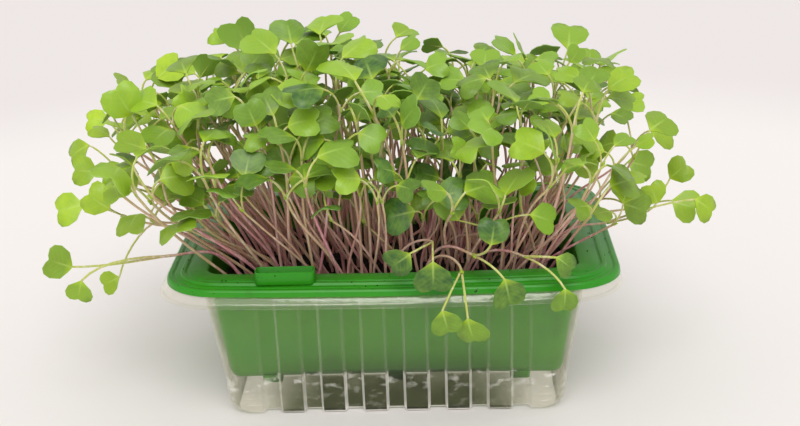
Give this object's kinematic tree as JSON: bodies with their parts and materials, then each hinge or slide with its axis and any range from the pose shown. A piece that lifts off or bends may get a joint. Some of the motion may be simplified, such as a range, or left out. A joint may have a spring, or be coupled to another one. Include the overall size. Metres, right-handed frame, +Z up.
{
  "type": "radish microgreens tray",
  "caption": "Radish microgreens growing in soil in a green plastic insert with a wide stepped rim, nested in a clear ribbed punnet.",
  "frame": {"origin": "middle of the clear punnet's underside, where it rests on the table", "axes": "+X along the tray's long side to the right, +Y from the front side to the back, +Z up"},
  "size_m": [0.2866, 0.1764, 0.1519],
  "materials": {
    "clear_pet": "clear gloss thermoformed PET",
    "green_plastic": "translucent green thermoformed plastic, satin gloss",
    "soil": "damp dark potting soil",
    "seedling": "fresh green leaf on pink stems"
  },
  "bodies": {
    "root": {"clear_container": "clear_pet", "green_insert": "green_plastic", "growing_medium": "soil", "seedlings_01": "seedling", "seedlings_02": "seedling", "seedlings_03": "seedling", "seedlings_04": "seedling", "seedlings_05": "seedling", "seedlings_06": "seedling", "seedlings_07": "seedling", "seedlings_08": "seedling", "seedlings_09": "seedling", "seedlings_10": "seedling", "seedlings_11": "seedling", "seedlings_12": "seedling", "seedlings_13": "seedling", "seedlings_14": "seedling", "seedlings_15": "seedling", "seedlings_16": "seedling", "seedlings_17": "seedling", "seedlings_18": "seedling", "seedlings_19": "seedling", "seedlings_20": "seedling", "seedlings_21": "seedling", "seedlings_22": "seedling", "seedlings_23": "seedling", "seedlings_24": "seedling", "seedlings_25": "seedling", "seedlings_26": "seedling", "seedlings_27": "seedling", "seedlings_28": "seedling", "seedlings_29": "seedling", "seedlings_30": "seedling", "seedlings_31": "seedling", "seedlings_32": "seedling", "seedlings_33": "seedling", "seedlings_34": "seedling", "seedlings_35": "seedling", "seedlings_36": "seedling", "seedlings_37": "seedling", "seedlings_38": "seedling", "seedlings_39": "seedling", "seedlings_40": "seedling", "seedlings_41": "seedling", "seedlings_42": "seedling", "seedlings_43": "seedling", "seedlings_44": "seedling", "seedlings_45": "seedling", "seedlings_46": "seedling", "seedlings_47": "seedling", "seedlings_48": "seedling", "seedlings_49": "seedling", "seedlings_50": "seedling", "seedlings_51": "seedling", "seedlings_52": "seedling", "seedlings_53": "seedling", "seedlings_54": "seedling"}
  },
  "joints": []
}
